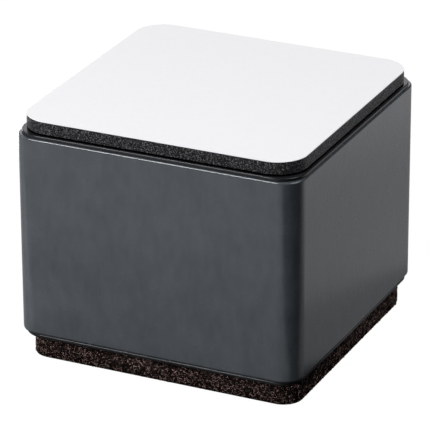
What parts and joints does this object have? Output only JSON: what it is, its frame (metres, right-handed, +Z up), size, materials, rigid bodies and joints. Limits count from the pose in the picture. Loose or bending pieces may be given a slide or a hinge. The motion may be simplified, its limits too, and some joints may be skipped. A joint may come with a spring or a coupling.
{
  "type": "furniture riser",
  "caption": "Square steel-tube riser with moulded end caps, an adhesive foam top under a peel-off liner and a felt base, stuck under a furniture leg to raise it.",
  "frame": {"origin": "middle of the felt pad's underside, on the floor", "axes": "+Z up through the stack, X and Y square to the tube's sides"},
  "size_m": [0.06, 0.06, 0.0508],
  "materials": {
    "liner_paper": "smooth white siliconised paper",
    "adhesive_film": "clear tacky acrylic film, dark over what it lies on",
    "black_tape": "matt black double-sided tape",
    "black_foam": "fine closed-cell foam, cut edge",
    "black_plastic": "glossy moulded ABS",
    "grey_paint": "satin powder coat",
    "brown_felt": "coarse needle felt"
  },
  "bodies": {
    "riser": {"top_adhesive": "adhesive_film", "foam_pad": "black_foam", "foam_tape": "black_tape", "top_cap": "black_plastic", "steel_tube": "grey_paint", "bottom_cap": "black_plastic", "felt_tape": "adhesive_film", "felt_pad": "brown_felt"},
    "liner": {"release_liner": "liner_paper"}
  },
  "joints": [
    {"name": "liner_lift", "type": "slide", "parent": "riser", "child": "liner", "axis": [0, 0, 1], "range_m": [0, 0.04]}
  ]
}
